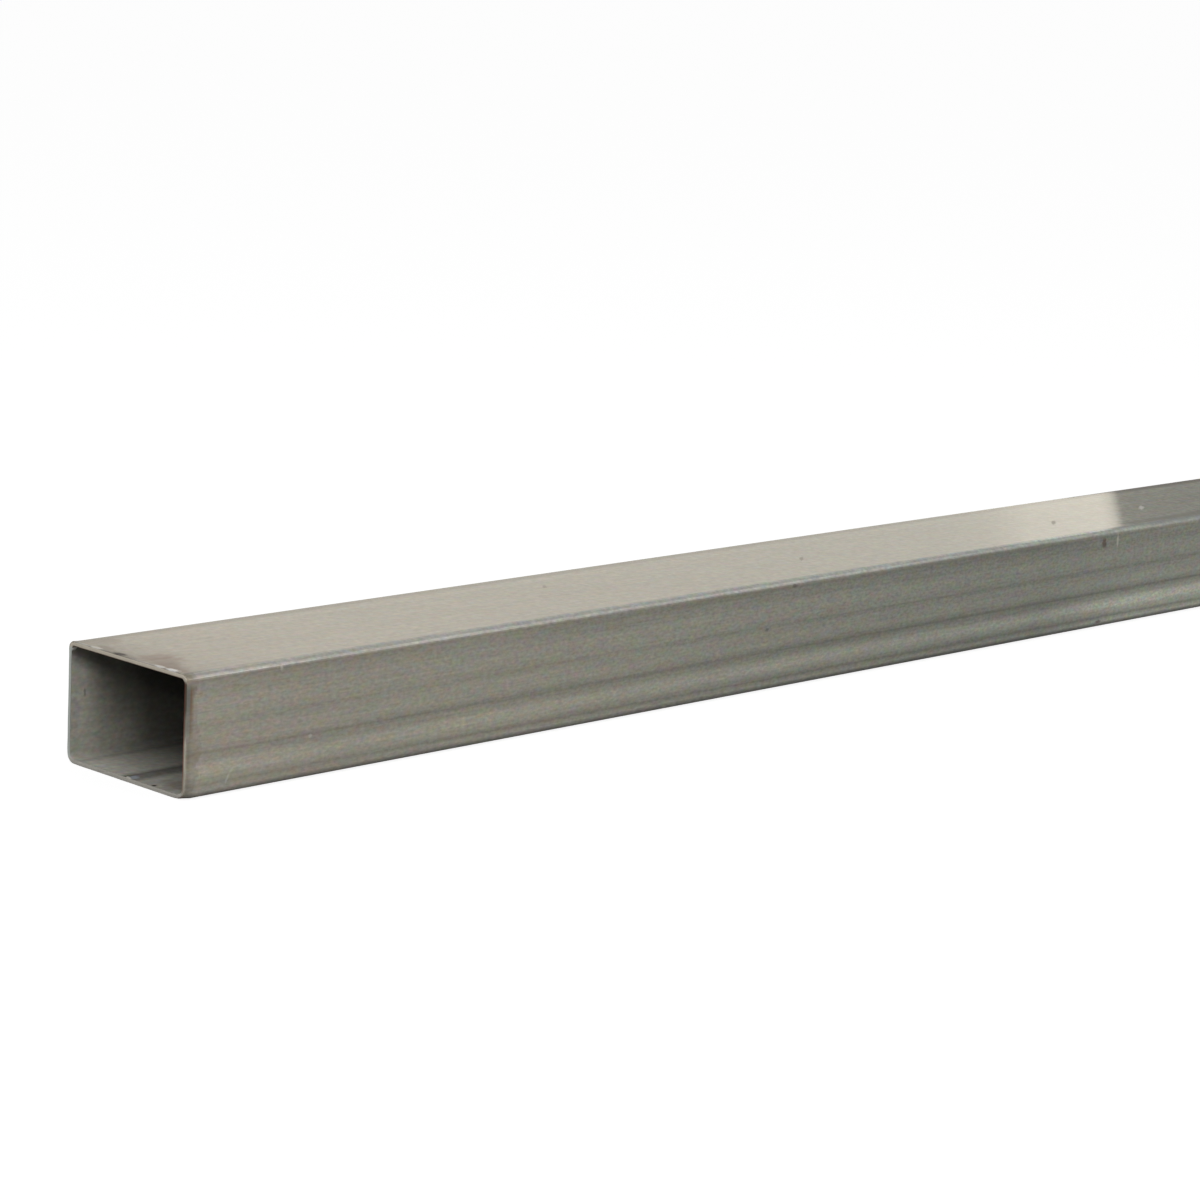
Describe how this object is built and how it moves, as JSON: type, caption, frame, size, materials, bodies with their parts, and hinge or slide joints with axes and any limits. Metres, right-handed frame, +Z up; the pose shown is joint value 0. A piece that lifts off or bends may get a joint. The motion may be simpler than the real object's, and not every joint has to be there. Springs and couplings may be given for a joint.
{
  "type": "rectangular steel tube",
  "caption": "Thin-walled rectangular steel tube with rounded long edges and an inner weld bead, open at both sawn ends, lying on a wide face.",
  "frame": {"origin": "middle of the tube's length and width, on the floor under the wide face that it lies on", "axes": "+X along the tube, +Y across its wide face, +Z up through its narrow side"},
  "size_m": [1, 0.06, 0.04],
  "materials": {
    "bare_steel": "bare cold-rolled steel, dull with a thin film of mill oil, lightly rusted on the sawn edges"
  },
  "bodies": {
    "root": {"tube": "bare_steel"}
  },
  "joints": []
}
